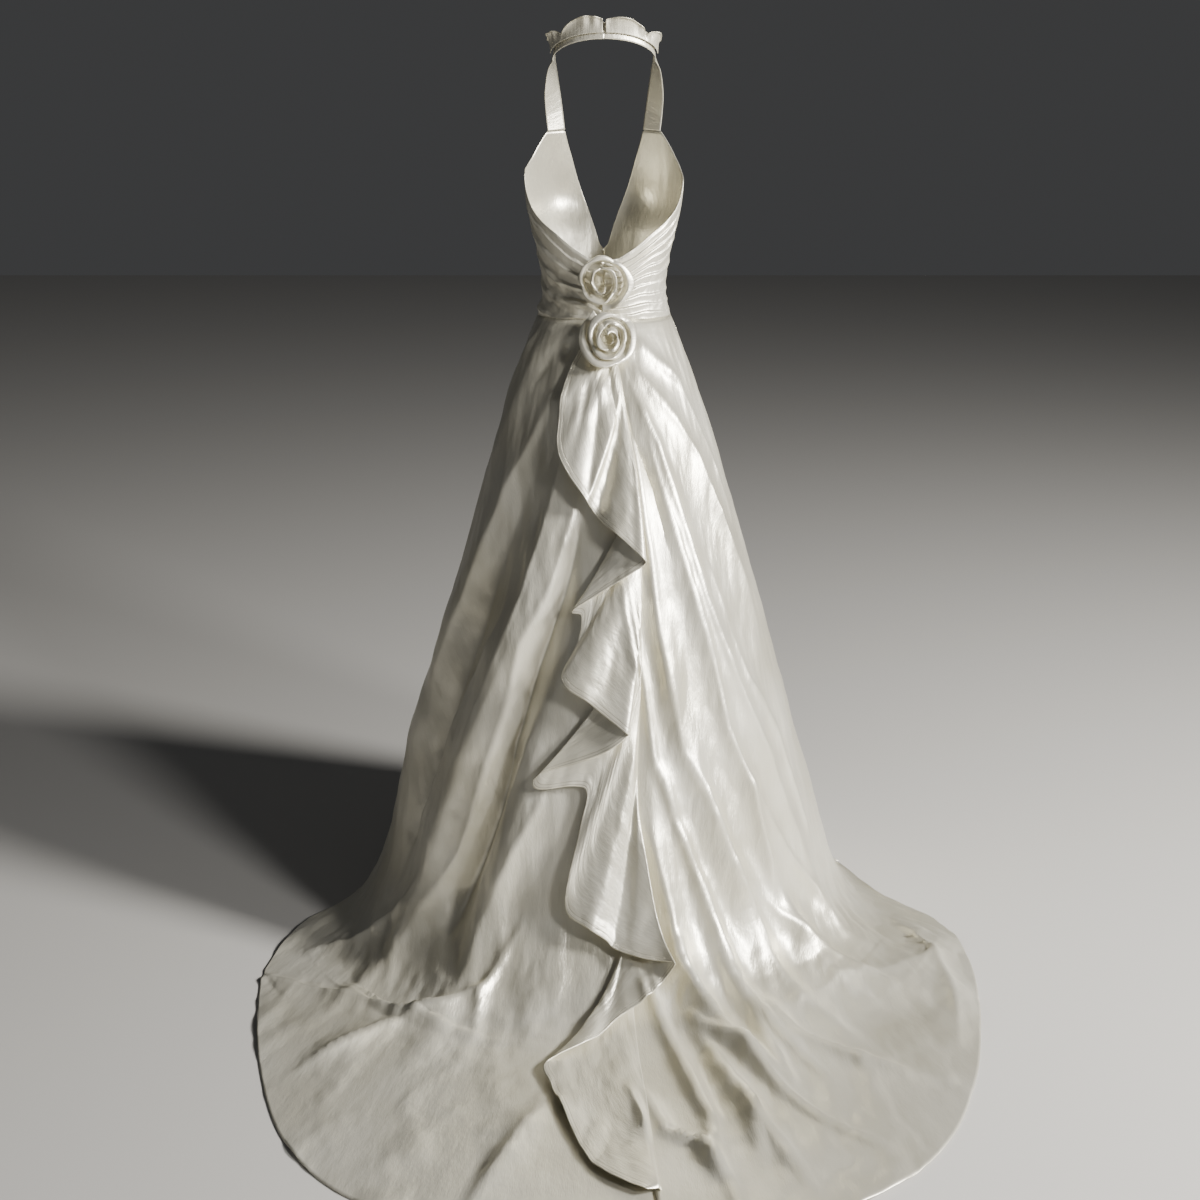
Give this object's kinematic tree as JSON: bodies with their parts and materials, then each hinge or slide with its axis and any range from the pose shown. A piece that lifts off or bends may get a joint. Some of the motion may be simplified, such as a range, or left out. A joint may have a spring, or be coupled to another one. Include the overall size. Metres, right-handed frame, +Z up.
{
  "type": "halter-neck wedding dress",
  "caption": "Ivory satin halter-neck wedding dress with a low draped back, fabric roses, a waterfall flounce down the back and a chapel train, standing hollow as if worn.",
  "frame": {"origin": "centre of the neck opening inside the collar, where the wearer holds the dress up", "axes": "+Z up, -Y the wearer's front, +Y the train, +X the wearer's left"},
  "size_m": [1.2555, 1.5464, 1.619],
  "materials": {
    "satin": "ivory satin with a soft sheen"
  },
  "bodies": {
    "root": {"collar_band_right": "satin", "collar_band_left": "satin", "collar_ruffle_right": "satin", "collar_ruffle_left": "satin", "halter_strap_right": "satin", "halter_strap_left": "satin", "bodice_front_right": "satin", "bodice_front_left": "satin", "bodice_back_right": "satin", "bodice_back_left": "satin", "rose_upper": "satin", "rose_lower": "satin", "skirt_front": "satin", "skirt_back_left": "satin", "skirt_back_right": "satin", "flounce": "satin"}
  },
  "joints": []
}
